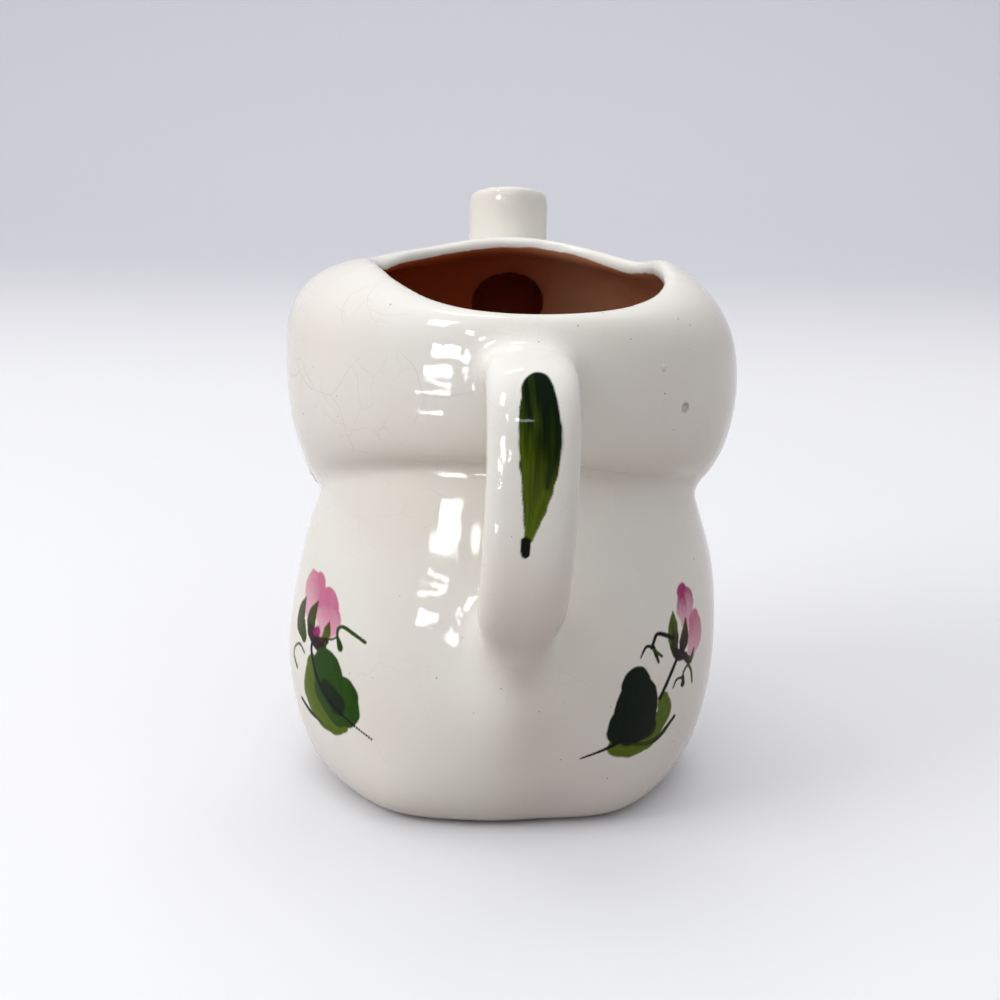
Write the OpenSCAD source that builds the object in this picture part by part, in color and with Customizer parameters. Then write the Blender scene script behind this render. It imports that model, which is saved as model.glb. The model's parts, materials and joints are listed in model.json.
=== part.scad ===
// Elephant creamer: a seated pottery elephant whose head is the mouth of the jug,
// whose raised trunk is the spout and whose back carries a strap handle.
// Every piece is cast or pressed on its own and luted to its neighbour with slip.
// Millimetres, +Z up. The elephant faces +Y, the handle is at -Y.
// The origin is the middle of the flat base.

/* [Belly] */
// Width of the belly at its fullest ring
belly_w = 91.5; // [74:0.5:110]
// Depth of the belly at its fullest ring, front to back
belly_d = 86; // [72:0.5:110]
// Height of the fullest ring of the belly
belly_z = 31; // [24:0.5:40]
// Width of the flat base
base_w = 69; // [50:0.5:76]
// Depth of the flat base, front to back
base_d = 62; // [50:0.5:74]

/* [Neck] */
// Width of the vessel at the neck seam
neck_w = 79.5; // [66:0.5:96]
// Depth of the vessel at the neck seam
neck_d = 72; // [60:0.5:90]
// Height of the neck seam over the middle of the base
neck_z = 62; // [54:0.5:70]
// Angle by which the neck seam drops toward the face, degrees
neck_tilt = 27; // [0:0.5:30]

/* [Head] */
// Width of the head at its fullest ring
head_w = 94.5; // [80:0.5:115]
// Depth of the head at its fullest ring
head_d = 88; // [74:0.5:110]
// Height of the fullest ring of the head
head_z = 89.5; // [84:0.5:96]
// Angle by which the fullest ring of the head drops toward the face, degrees
head_tilt = 5; // [0:0.5:10]

/* [Mouth] */
// Width over the rim of the mouth
mouth_w = 63; // [46:0.5:74]
// Depth over the rim of the mouth
mouth_d = 66; // [50:0.5:76]
// Mean height of the rim
mouth_z = 110.8; // [106:0.2:118]
// Angle by which the rim rises toward the trunk, degrees
mouth_tilt = 4; // [0:0.5:12]
// How far the rim swings up at its two sides
mouth_saddle = 1.8; // [0:0.2:4]
// How far the rim dips on both sides of the trunk
mouth_dip = 1.6; // [0:0.2:3]
// How far the middle of the mouth stands back toward the handle
mouth_back = 6; // [0:0.5:8]

/* [Clay] */
// Thickness of the walls
wall = 4; // [3:0.1:5.5]
// Thickness of the floor over the base
floor_t = 5; // [4:0.1:8]
// Film of slip between two luted pieces
slip = 0.1; // [0.05:0.01:0.3]

/* [Trunk] */
// Outside diameter of the trunk at its tip
trunk_dia = 18.2; // [15:0.2:22]
// Outside diameter of the trunk where it leaves the face
root_dia = 30; // [25:0.5:34]
// Height of the middle of the trunk tip
trunk_z = 118.5; // [115:0.5:126]
// How far the middle of the tip stands in front of the mouth rim
trunk_reach = 18; // [16:0.5:26]
// How far the middle of the trunk swings out in front of the face
trunk_swing = 7; // [4:0.5:12]
// How far below the fullest ring of the head the trunk leaves the face
trunk_drop = 6; // [2:0.5:10]
// Length of the straight stretch below the tip
tip_straight = 20; // [14:0.5:26]
// Slope of the cut end of the tip, low side forward, degrees
tip_slant = 19; // [0:1:30]
// Wall of the trunk at its tip
trunk_wall = 3.2; // [2.4:0.1:4]
// Diameter of the hole where the trunk opens into the head
bore_dia = 16.5; // [12:0.5:18]
// Height of the middle of that hole above the fullest ring of the head
bore_lift = 5; // [2:0.5:8]

/* [Handle] */
// Width of the strap
handle_w = 17; // [12:0.5:22]
// Thickness of the strap
handle_t = 9; // [6:0.5:12]
// Clear space for a finger between the belly and the strap
finger_gap = 14; // [12:0.5:24]

/* [Ears and limbs] */
// Thickness of the rolled edge of an ear
ear_t = 4.6; // [3:0.1:7]
// Height of an ear, measured along the head
ear_h = 51; // [40:0.5:54]
// Width of an ear, measured round the head
ear_w = 31.5; // [24:0.5:36]
// How far a foreleg stands out of the belly
foreleg_out = 9; // [5:0.5:12]
// Height of a foreleg, measured along the belly
foreleg_h = 18; // [14:0.5:20]
// Width of a foreleg, measured round the belly
foreleg_w = 15.5; // [11:0.5:19]
// How far a hind foot stands out of the belly
foot_out = 15; // [8:0.5:20]
// Height of a hind foot, measured along the belly
foot_h = 27; // [20:0.5:32]
// Width of a hind foot, measured round the belly
foot_w = 26.5; // [18:0.5:32]
// How far the lower lip stands out of the face
lip_out = 6; // [3:0.5:9]
// Height of the lower lip, measured along the face
lip_h = 12; // [8:0.5:15]
// Width of the lower lip, measured round the face
lip_w = 23; // [16:0.5:28]

/* [Hidden] */
// Rings are [half width, half depth, middle y, middle z, slope along y, share of the rim's wave].
// The five rings that the vessel is drawn through, from the base to the rim.
base_ring = [base_w / 2, base_d / 2, 0, 0, 0, 0];
belly_ring = [belly_w / 2, belly_d / 2, 0, belly_z, 0, 0];
neck_ring = [neck_w / 2, neck_d / 2, 0, neck_z, -tan(neck_tilt), 0];
head_ring = [head_w / 2, head_d / 2, 0, head_z, -tan(head_tilt), 0];
rim_ring = [mouth_w / 2, mouth_d / 2, -mouth_back, mouth_z, tan(mouth_tilt), 1];

// How far each lobe is rolled round toward its end ring, in degrees of arc.
base_roll = 86;
neck_roll = 62;
rim_roll = 82;

// How square the shoulders of the head are: 1 is a plain arc, less is squarer.
shoulder_ratio = 0.8;

// Direction across the wall at the rim, as [sideways, up].
rim_run = (head_w - mouth_w) / 2 * sin(rim_roll) / (1 - cos(rim_roll));
rim_rise = (mouth_z - head_z) / tan(rim_roll);
rim_out = [rim_rise, rim_run] / norm([rim_rise, rim_run]);
rim_up = [-rim_out[1], rim_out[0]];

outside = [base_ring, belly_ring, neck_ring, head_ring, rim_ring];
inside = [
    grow(base_ring, -wall, floor_t),
    grow(belly_ring, -wall, 0),
    grow(neck_ring, -wall, 0),
    grow(head_ring, -wall, 0),
    grow(rim_ring, -wall * rim_out[0], -wall * rim_out[1])
];

// Facets round the vessel, round a limb and along a lobe.
round_n = 56;
limb_n = 24;
lobe_n = 9;

// Places on the vessel are [way up, turn]: way up runs 0 base, 1 belly, 2 neck, 3 head, 4 rim,
// and the turn is in degrees from +X toward the face at +Y.
handle_angle = 270;
handle_top_ratio = 3.14;
handle_foot_ratio = 1.3;
ear_angle = 43;
ear_ratio = 2.78;
ear_lean_angle = 16;
foreleg_angle = 61;
foreleg_ratio = 1.42;
foreleg_lean_angle = -24;
foot_angle = 63;
foot_ratio = 0.5;
lip_angle = 90;
lip_ratio = 2.34;
handle_top = [handle_top_ratio, handle_angle];
handle_foot = [handle_foot_ratio, handle_angle];
ear_place = [ear_ratio, ear_angle];
foreleg_place = [foreleg_ratio, foreleg_angle];
foot_place = [foot_ratio, foot_angle];
lip_place = [lip_ratio, lip_angle];

// The middle line of the trunk, from inside the face to the tip.
rim_front = rim_ring[2] + mouth_d / 2;
face_z = head_z - trunk_drop;
tip = [0, rim_front + trunk_reach, trunk_z];
trunk_line = [[0, head_d / 2 - root_dia / 2, face_z],
    [0, head_d / 2 + trunk_swing, face_z - trunk_drop / 2], tip - [0, 0, tip_straight], tip];

// The middle line of the bore, from inside the head to just beyond the tip.
bore_tip = trunk_dia / 2 - trunk_wall;
bore_root = bore_dia / 2;
bore_z = head_z + bore_lift;
bore_line = [[0, head_d / 2 - 3 * wall - trunk_wall, bore_z - trunk_wall],
    [0, head_d / 2 - wall, bore_z], tip - [0, 0, tip_straight * 0.8], tip];

// The middle line of the handle in two stretches, down to and on from its straight back.
handle_y = -(belly_d / 2 + finger_gap + handle_t / 2);
handle_start = skin(handle_top);
handle_end = skin(handle_foot);
handle_mid = [0, handle_y, mix(handle_end[2], handle_start[2], 0.58)];
handle_upper = [handle_start, [0, handle_y + handle_t / 2, handle_start[2] + handle_t / 4],
    [0, handle_y, handle_start[2]], handle_mid];
handle_lower = [handle_mid, [0, handle_y, mix(handle_end[2], handle_mid[2], 0.35)],
    handle_end + handle_t * [0, -1.2, 1], handle_end];

glaze = [0.93, 0.91, 0.87];
glaze_shade = [0.88, 0.86, 0.82];

function grow(ring, out, up) =
    [ring[0] + out, ring[1] + out, ring[2], ring[3] + up, ring[4], ring[5]];

function unit(v) = v / norm(v);

function mix(a, b, t) = a + (b - a) * t;

function ease(t) = let (c = min(max(t, 0), 1)) c * c * (3 - 2 * c);

// How the rim rises and dips round the mouth.
function rim_wave(turn) =
    mouth_saddle * pow(cos(turn), 6) - mouth_dip * pow(sin(2 * turn), 2) * (1 + sin(turn)) / 2;

// The point of a ring at one turn.
function ring_point(ring, turn) =
    let (y = ring[1] * sin(turn))
    [ring[0] * cos(turn), ring[2] + y, ring[3] + ring[4] * y + ring[5] * rim_wave(turn)];

// A ring on the arc from the fullest ring (t = 0) to an end ring (t = 1).
function arc_ring(full, end, roll, t, square = 1) =
    let (across = (cos(t * roll) - cos(roll)) / (1 - cos(roll)),
        along = pow(sin(t * roll) / sin(roll), square))
    [for (i = [0:5]) i == 3 || i == 5 ? mix(full[i], end[i], along) : mix(end[i], full[i], across)];

// The ring of a vessel surface at any way up.
function ring_at(rings, up) =
    up <= 1 ? arc_ring(rings[1], rings[0], base_roll, 1 - up) :
    up <= 2 ? arc_ring(rings[1], rings[2], neck_roll, up - 1) :
    up <= 3 ? arc_ring(rings[3], rings[2], neck_roll, 3 - up) :
    arc_ring(rings[3], rings[4], rim_roll, up - 3, shoulder_ratio);

// The rounded edge of the mouth, from 0 at the outside to 180 degrees at the inside.
function lip_ring(turn) =
    let (out = wall / 2 * ((cos(turn) - 1) * rim_out + sin(turn) * rim_up))
    grow(rim_ring, out[0], out[1]);

function skin(place) = ring_point(ring_at(outside, place[0]), place[1]);

// Outward direction of the vessel's outside, taken within one lobe.
function skin_way(place) =
    let (low = max(place[0] - 0.02, place[0] < 2 ? 0 : 2),
        high = min(place[0] + 0.02, place[0] < 2 ? 2 : 4),
        round_step = skin([place[0], place[1] + 1]) - skin([place[0], place[1] - 1]),
        up_step = skin([high, place[1]]) - skin([low, place[1]]))
    unit(cross(round_step, up_step));

function seat(place) = skin(place) + slip * skin_way(place);

// Half height and half width on the vessel, from millimetres to [way up, degrees].
function spread(place, half_h, half_w) = [
    half_h * 0.04 / norm(skin(place + [0.02, 0]) - skin(place - [0.02, 0])),
    half_w * 2 / norm(skin(place + [0, 1]) - skin(place - [0, 1]))
];

function full_ring(ring) = [for (i = [0:round_n - 1]) ring_point(ring, 360 * i / round_n)];

// One place on the edge of a patch of the vessel, b degrees round it.
function edge_place(place, size, lean, b) =
    let (up = size[0] * sin(b))
    [place[0] + up, place[1] + lean * up + size[1] * cos(b)];

function seat_loop(place, size, lean = 0) =
    [for (i = [0:limb_n - 1]) seat(edge_place(place, size, lean, 360 * i / limb_n))];

function move_loop(loop, by) = [for (p = loop) p + by];

function mix_loop(a, b, t) = [for (i = [0:len(a) - 1]) mix(a[i], b[i], t)];

function bezier(p, t) =
    pow(1 - t, 3) * p[0] + 3 * t * pow(1 - t, 2) * p[1] + 3 * t * t * (1 - t) * p[2] + pow(t, 3) * p[3];

function bezier_way(p, t) =
    unit(pow(1 - t, 2) * (p[1] - p[0]) + 2 * t * (1 - t) * (p[2] - p[1]) + t * t * (p[3] - p[2]));

// A section across a line in the middle plane. slant tips the section, as at the end of the trunk.
function section(line, t, half_x, half_o, power, slant = 0) =
    let (middle = bezier(line, t), way = bezier_way(line, t), over = [0, way[2], -way[1]] - slant * way)
    [for (i = [0:limb_n - 1])
        let (c = cos(360 * i / limb_n), s = sin(360 * i / limb_n))
        middle + [half_x * sign(c) * pow(abs(c), 2 / power), 0, 0]
            + over * half_o * sign(s) * pow(abs(s), 2 / power)];

// Solid from a list of loops. An open list is closed by two end points, a ring list by itself.
module loft(loops, ends = []) {
    n = len(loops[0]);
    rows = len(loops);
    closed = len(ends) == 0;
    points = concat([for (loop = loops) for (p = loop) p], ends);
    sides = [for (r = [0:rows - (closed ? 1 : 2)]) for (i = [0:n - 1])
        let (a = r * n + i, b = r * n + (i + 1) % n, up = ((r + 1) % rows) * n)
        for (f = [[a, up + i, b], [b, up + i, up + (i + 1) % n]]) f];
    start_cap = closed ? [] : [for (i = [0:n - 1]) [rows * n, i, (i + 1) % n]];
    end_cap = closed ? [] : [for (i = [0:n - 1])
        [rows * n + 1, (rows - 1) * n + (i + 1) % n, (rows - 1) * n + i]];
    polyhedron(points = points, faces = concat(sides, start_cap, end_cap), convexity = 8);
}

// A relief piece luted to the vessel: its back follows the vessel, its front swells away from it.
// swell is [height in the middle, height at the edge, extra share of height at the low end].
module relief(place, size, lean, swell, push = undef) {
    function front(rho, b) =
        let (at = edge_place(place, size * rho, lean, b),
            low_end = 1 + swell[2] * max(0, -sin(b)) * rho,
            round_off = rho < 0.99 ? 1 : 0.5,
            height = mix(swell[0], swell[1], pow(rho, 2.5)) * low_end * round_off,
            way = is_undef(push) ? skin_way(at) : push)
        seat(at) + way * height;
    backs = [for (rho = [0.28, 0.55, 0.8, 1]) seat_loop(place, size * rho, lean)];
    fronts = [for (rho = [1, 0.96, 0.86, 0.7, 0.5, 0.25])
        [for (i = [0:limb_n - 1]) front(rho, 360 * i / limb_n)]];
    loft(concat(backs, fronts), [seat(place), front(0, 0)]);
}

module belly() {
    outer = [for (i = [0:2 * lobe_n]) full_ring(ring_at(outside, i / lobe_n))];
    inner = [for (i = [2 * lobe_n:-1:0]) full_ring(ring_at(inside, i / lobe_n))];
    color(glaze) loft(concat(outer, inner), [[0, 0, 0], [0, 0, floor_t]]);
}

module head() {
    lift = [0, 0, slip];
    outer = [for (i = [0:2 * lobe_n]) full_ring(ring_at(outside, 2 + i / lobe_n))];
    inner = [for (i = [2 * lobe_n:-1:0]) full_ring(ring_at(inside, 2 + i / lobe_n))];
    lip = [for (turn = [36:36:144]) full_ring(lip_ring(turn))];
    seam_up = [for (i = [0:len(outer) - 1]) i == 0 ? move_loop(outer[i], lift) : outer[i]];
    seam_down = [for (i = [0:len(inner) - 1]) i == len(inner) - 1 ? move_loop(inner[i], lift) : inner[i]];
    color(glaze)
    difference() {
        loft(concat(seam_up, lip, seam_down));
        trunk_bore();
    }
}

// The head as a filled form, one film of slip larger than its outside.
module head_form() {
    loops = [for (i = [0:2 * lobe_n]) full_ring(grow(ring_at(outside, 2 + i / lobe_n), slip, 0))];
    loft(loops, [[0, 0, neck_z], [0, rim_ring[2], mouth_z]]);
}

// The way for the cream, from the head to the tip, a little flared at the tip.
module trunk_bore() {
    steps = 9;
    loops = [for (i = [0:steps])
        let (r = mix(bore_root, bore_tip, ease(i / steps)))
        section(bore_line, i / steps, r, r, 2, tan(tip_slant) * ease(2 * i / steps - 1))];
    flare = [for (k = trunk_wall * [[0.12, 0.45], [0.5, 0.6]])
        let (r = bore_tip + k[0])
        move_loop(section(bore_line, 1, r, r, 2, tan(tip_slant)), [0, 0, k[1]])];
    loft(concat(loops, flare), [bore_line[0], tip + [0, 0, trunk_wall * 0.6]]);
}

module trunk_spout() {
    steps = 15;
    loops = [for (i = [0:steps])
        let (r = mix(root_dia, trunk_dia, ease(i / steps / 0.85)) / 2)
        section(trunk_line, i / steps, r, r, 2, tan(tip_slant) * ease(2 * i / steps - 1))];
    lip = [for (turn = [30:30:60])
        let (r = trunk_dia / 2 - trunk_wall / 2 * (1 - cos(turn)))
        move_loop(section(trunk_line, 1, r, r, 2, tan(tip_slant)), [0, 0, trunk_wall / 2 * sin(turn)])];
    top_r = trunk_dia / 2 - trunk_wall / 2;
    top = section(trunk_line, 1, top_r, top_r, 2, tan(tip_slant));
    color(glaze)
    difference() {
        loft(concat(loops, lip, [move_loop(top, [0, 0, trunk_wall / 2])]),
            [trunk_line[0], tip + [0, 0, trunk_wall / 2]]);
        trunk_bore();
        head_form();
    }
}

module handle() {
    steps = 12;
    top_size = spread(handle_top, handle_t * 0.62, handle_w * 0.52);
    foot_size = spread(handle_foot, handle_t * 0.95, handle_w * 0.54);
    foot_turned = [-foot_size[0], foot_size[1]];
    top_loop = seat_loop(handle_top, top_size);
    foot_loop = seat_loop(handle_foot, foot_turned);
    function strap(line, t) = section(line, t, handle_w / 2, handle_t / 2, 2.8);
    top_root = [for (rho = [0.35, 0.7]) seat_loop(handle_top, top_size * rho)];
    upper = [for (i = [0:steps]) mix_loop(top_loop, strap(handle_upper, i / steps),
        ease(i / steps / 0.34))];
    lower = [for (i = [1:steps]) mix_loop(strap(handle_lower, i / steps), foot_loop,
        ease((i / steps - 0.62) / 0.38))];
    foot_root = [for (rho = [0.7, 0.35]) seat_loop(handle_foot, foot_turned * rho)];
    color(glaze) loft(concat(top_root, upper, lower, foot_root), [seat(handle_top), seat(handle_foot)]);
}

module right_ear() {
    color(glaze_shade) relief(ear_place, spread(ear_place, ear_h / 2, ear_w / 2), ear_lean_angle,
        [ear_t * 0.55, ear_t, 0.35]);
}

module left_ear() {
    mirror([1, 0, 0]) right_ear();
}

module right_foreleg() {
    color(glaze_shade) relief(foreleg_place, spread(foreleg_place, foreleg_h / 2, foreleg_w / 2),
        foreleg_lean_angle, [foreleg_out, foreleg_out * 0.35, 0.3]);
}

module left_foreleg() {
    mirror([1, 0, 0]) right_foreleg();
}

module right_hind_foot() {
    color(glaze_shade) relief(foot_place, spread(foot_place, foot_h / 2, foot_w / 2), 0,
        [foot_out, foot_out * 0.4, 0], [0.4, 0.92, 0]);
}

module left_hind_foot() {
    mirror([1, 0, 0]) right_hind_foot();
}

module lower_lip() {
    color(glaze_shade) relief(lip_place, spread(lip_place, lip_h / 2, lip_w / 2), 0,
        [lip_out, lip_out * 0.4, 0]);
}

belly();
head();
trunk_spout();
handle();
left_ear();
right_ear();
left_foreleg();
right_foreleg();
left_hind_foot();
right_hind_foot();
lower_lip();
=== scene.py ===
# %% [markdown]
# The object is a small glazed earthenware cream jug in the shape of a sitting elephant, seen from behind.
# A round belly carries a wide head with a wavy mouth, a raised hollow trunk is the spout, and a strap
# handle stands in for the tail. Every sub-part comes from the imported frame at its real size, so the work
# here is the skin: soft slip joints, small hand-made unevenness, brush-painted sprigs and a crazed glaze.

# %% Load the frame
import json
import math

import bpy
import numpy as np
from mathutils import Matrix, Vector
from mathutils.bvhtree import BVHTree

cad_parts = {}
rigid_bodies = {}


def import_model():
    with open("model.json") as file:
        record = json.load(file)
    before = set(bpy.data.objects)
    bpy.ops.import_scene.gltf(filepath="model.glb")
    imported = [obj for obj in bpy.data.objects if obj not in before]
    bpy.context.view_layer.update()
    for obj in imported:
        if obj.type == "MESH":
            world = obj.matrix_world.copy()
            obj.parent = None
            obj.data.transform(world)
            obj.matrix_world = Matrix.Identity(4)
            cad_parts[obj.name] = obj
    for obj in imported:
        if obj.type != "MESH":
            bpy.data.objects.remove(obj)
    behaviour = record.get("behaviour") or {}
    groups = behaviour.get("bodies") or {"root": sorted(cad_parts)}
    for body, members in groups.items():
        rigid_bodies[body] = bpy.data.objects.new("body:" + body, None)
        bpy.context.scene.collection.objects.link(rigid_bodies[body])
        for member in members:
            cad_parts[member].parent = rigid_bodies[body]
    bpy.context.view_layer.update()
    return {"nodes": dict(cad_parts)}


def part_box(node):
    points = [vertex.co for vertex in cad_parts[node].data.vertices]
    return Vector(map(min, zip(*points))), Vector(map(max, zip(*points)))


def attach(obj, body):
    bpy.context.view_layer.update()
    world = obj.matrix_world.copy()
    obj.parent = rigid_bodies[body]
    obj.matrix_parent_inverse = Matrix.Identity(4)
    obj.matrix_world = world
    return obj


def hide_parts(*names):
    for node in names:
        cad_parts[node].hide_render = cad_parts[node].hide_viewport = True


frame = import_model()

MM = 0.001

# %% [markdown]
# The camera stands behind the elephant, a little above the rim, and tilts by a degree or two as a hand-held
# one does. Its place is written as a distance, a turn and a height angle round the middle of the jug. A lens
# in pixels of the square picture turns into a focal length on a 36 mm sensor.

# %% Camera
picture_size = 1000
picture_focal = 1770
picture_right = 9
picture_up = 4
look_at = Vector((0, 0, 61.2)) * MM
stand_off = 380 * MM
camera_turn = math.radians(-2.8)
camera_height = math.radians(17)
camera_roll = math.radians(1.7)

backward = Vector((
    math.sin(camera_turn) * math.cos(camera_height),
    -math.cos(camera_turn) * math.cos(camera_height),
    math.sin(camera_height),
))
camera = bpy.data.objects.new("jug_camera", bpy.data.cameras.new("jug_camera"))
bpy.context.scene.collection.objects.link(camera)
camera.data.sensor_width = 36
camera.data.lens = camera.data.sensor_width * picture_focal / picture_size
camera.data.shift_x = -picture_right / picture_size
camera.data.shift_y = -picture_up / picture_size
camera.data.clip_start = 0.01
camera.location = look_at + backward * stand_off
camera.rotation_mode = "QUATERNION"
straight = (-backward).to_track_quat("-Z", "Y")
camera.rotation_quaternion = straight @ Matrix.Rotation(camera_roll, 3, "Z").to_quaternion()
bpy.context.scene.camera = camera
bpy.context.scene.view_settings.view_transform = "Standard"
print("camera lens, mm:", round(camera.data.lens, 1))

# %% [markdown]
# The jug stands on a white sheet that runs back and sweeps up into a pale lavender-grey backdrop. A plane
# gives the floor; spinning its far edge a quarter turn makes the sweep, and one extrusion makes the wall. One
# sheet has no line where floor and wall meet, which is how product tables are built.

# %% Helpers for objects
def pick(*pieces):
    """Selects only these pieces; the first one is the active one."""
    bpy.ops.object.select_all(action="DESELECT")
    for piece in pieces:
        piece.select_set(True)
    bpy.context.view_layer.objects.active = pieces[0]


def select_none(piece, kind):
    """Leaves nothing selected in a piece, and sets what is selected from now on: VERT, EDGE or FACE."""
    pick(piece)
    bpy.ops.object.mode_set(mode="EDIT")
    bpy.ops.mesh.select_mode(type=kind)
    bpy.ops.mesh.select_all(action="DESELECT")
    bpy.ops.object.mode_set(mode="OBJECT")


def apply_modifier(piece, kind, **settings):
    """Adds one modifier, sets it and applies it."""
    pick(piece)
    modifier = piece.modifiers.new(kind.title(), kind)
    for name, value in settings.items():
        setattr(modifier, name, value)
    bpy.ops.object.modifier_apply(modifier=modifier.name)


def add_node(tree, kind, sockets=None, **settings):
    """Adds a shader node; a socket takes a value, or a link when given another node's output."""
    node = tree.nodes.new("ShaderNode" + kind)
    for name, value in settings.items():
        setattr(node, name, value)
    for name, value in (sockets or {}).items():
        if isinstance(value, bpy.types.NodeSocket):
            tree.links.new(value, node.inputs[name])
        else:
            node.inputs[name].default_value = value
    return node


def new_material(name):
    """A material with only its output and a principled shader."""
    material = bpy.data.materials.new(name)
    material.use_nodes = True
    tree = material.node_tree
    return material, tree, tree.nodes["Principled BSDF"]


# %% Floor and backdrop
sheet_half = 1.6
sheet_far = 0.62
sweep_radius = 0.45
sheet_gap = 0.05 * MM

bpy.ops.object.select_all(action="DESELECT")
bpy.ops.mesh.primitive_plane_add(size=2 * sheet_half, location=(0, sheet_far - sheet_half, -sheet_gap))
table_sheet = bpy.context.object
table_sheet.name = "table_sheet"
bpy.ops.object.transform_apply(location=True)
select_none(table_sheet, "VERT")
for vertex in table_sheet.data.vertices:
    vertex.select = vertex.co.y > sheet_far - 0.01
bpy.ops.object.mode_set(mode="EDIT")
bpy.ops.mesh.spin(steps=24, angle=-math.pi / 2, center=(0, sheet_far, sweep_radius), axis=(1, 0, 0))
bpy.ops.mesh.extrude_region_move(TRANSFORM_OT_translate={"value": (0, 0, sheet_half)})
bpy.ops.mesh.select_all(action="SELECT")
bpy.ops.mesh.normals_make_consistent(inside=False)
bpy.ops.object.mode_set(mode="OBJECT")
bpy.ops.object.shade_smooth()
print("sheet corners:", [tuple(round(v, 2) for v in corner) for corner in list(table_sheet.bound_box)[::6]])

# %% Sheet material
sheet_white = (0.88, 0.885, 0.91, 1)
wall_grey = (0.65, 0.655, 0.71, 1)
bounce_grey = (0.38, 0.335, 0.31, 1)

sheet_material, tree, shader = new_material("table_sheet")
place = add_node(tree, "TexCoord")
axes = add_node(tree, "SeparateXYZ", {"Vector": place.outputs["Object"]})
fade = add_node(tree, "MapRange", {"Value": axes.outputs["Y"], "From Min": 0.3, "From Max": 0.75},
                interpolation_type="SMOOTHSTEP")
tint = add_node(tree, "Mix", {"Factor": fade.outputs["Result"], "A": sheet_white, "B": wall_grey},
                data_type="RGBA")
rays = add_node(tree, "LightPath").outputs
seen = add_node(tree, "Math", {0: rays["Is Camera Ray"], 1: rays["Is Glossy Ray"]}, operation="ADD")
seen = add_node(tree, "Math", {0: seen.outputs["Value"], 1: rays["Is Transmission Ray"]}, operation="ADD")
shown = add_node(tree, "Mix", {"Factor": seen.outputs["Value"], "A": bounce_grey,
                               "B": tint.outputs["Result"]}, data_type="RGBA")
tree.links.new(shown.outputs["Result"], shader.inputs["Base Color"])
shader.inputs["Roughness"].default_value = 0.9
shader.inputs["Specular IOR Level"].default_value = 0.1
table_sheet.data.materials.append(sheet_material)

# %% [markdown]
# The light is a bright room: an even sky-white all round, large soft lights from above and from the far side,
# and a window on the left. Glossy glaze mirrors the panes of that window as crisp white patches. Two kinds of
# area lamps give this: soft lights, which only shade the clay, and panes, which are only mirrored, placed by
# the direction in which the glaze has to mirror them. Kept apart, shade and gloss can each be set without
# upsetting the other.

# %% Lamps
def lamp_towards(name, turn, height, distance, width, tall, watts, lean=0.0, aim=None, pane=True):
    """A rectangular lamp, seen from the jug at a turn from straight behind (+ to the right) and a height."""
    aim = look_at if aim is None else Vector(aim) * MM
    turn, height = math.radians(turn), math.radians(height)
    level = math.cos(height)
    direction = Vector((math.sin(turn) * level, -math.cos(turn) * level, math.sin(height)))
    data = bpy.data.lights.new(name, "AREA")
    data.shape = "RECTANGLE"
    data.size, data.size_y, data.energy = width, tall, watts
    lamp = bpy.data.objects.new(name, data)
    bpy.context.scene.collection.objects.link(lamp)
    lamp.location = aim + direction * distance
    lamp.rotation_mode = "QUATERNION"
    facing = (-direction).to_track_quat("-Z", "Y")
    lamp.rotation_quaternion = facing @ Matrix.Rotation(math.radians(lean), 3, "Z").to_quaternion()
    lamp.visible_camera = False
    lamp.visible_diffuse, lamp.visible_glossy = not pane, pane
    return lamp


lamp_towards("ceiling_light", -155, 72, 1.2, 1.0, 1.0, 3.8, pane=False)
lamp_towards("left_window", -66, 28, 1.0, 0.5, 0.5, 3.9, pane=False)
lamp_towards("front_light", 165, 38, 1.2, 0.8, 0.8, 2.0, pane=False)
lamp_towards("tall_pane", -34, 4, 1.0, 0.22, 0.16, 3.4)
lamp_towards("second_pane", -19, 2, 1.0, 0.07, 0.07, 0.5)
lamp_towards("upper_pane", -46, 42, 1.0, 0.20, 0.28, 5.3)
lamp_towards("side_pane", -25, 24, 1.0, 0.05, 0.12, 0.6)
lamp_towards("roof_pane", -150, 74, 1.0, 0.26, 0.08, 2.0)
lamp_towards("handle_pane", -4, 25, 1.0, 0.22, 0.04, 0.85)
lamp_towards("low_pane_head", -38, -8, 0.22, 0.055, 0.016, 0.085, aim=(-16, -41, 97.6))
lamp_towards("low_pane_belly", -41, -9.5, 0.20, 0.045, 0.008, 0.037, aim=(-17, -38.6, 47))
lamp_towards("hook_upper", -37, -3.2, 0.30, 0.06, 0.006, 0.037, lean=-9, aim=(-15, -40, 54))
lamp_towards("hook_lower", -40, -5.6, 0.30, 0.09, 0.005, 0.043, lean=4, aim=(-15, -40, 52))

# %% Room light
room = bpy.data.worlds.new("room")
bpy.context.scene.world = room
room.use_nodes = True
tree = room.node_tree
sky = add_node(tree, "SeparateXYZ", {"Vector": add_node(tree, "TexCoord").outputs["Generated"]})
rise = add_node(tree, "MapRange", {"Value": sky.outputs["Z"], "From Min": -0.1, "From Max": 0.9,
                                   "To Min": 0.32, "To Max": 0.86}, interpolation_type="SMOOTHSTEP")
tree.nodes["Background"].inputs["Color"].default_value = (0.96, 0.97, 1.0, 1)
tree.links.new(rise.outputs["Result"], tree.nodes["Background"].inputs["Strength"])

# %% [markdown]
# A potter makes the pots, limbs, ears, trunk and handle one by one, and lutes them together with liquid clay
# that fills every joint with a soft fillet. Here each frame part is copied, merged and subdivided, pressed a
# little into its neighbour, and the lot is remeshed into one skin, as wet clay becomes one. Booleans with
# bevels would leave hard, even fillets; smoothing only near the joints gives the wiped look of slip.

# %% Clay copies of the frame parts
parts = ["belly", "head", "trunk_spout", "handle", "left_ear", "right_ear", "left_foreleg", "right_foreleg",
         "left_hind_foot", "right_hind_foot", "lower_lip"]


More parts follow.
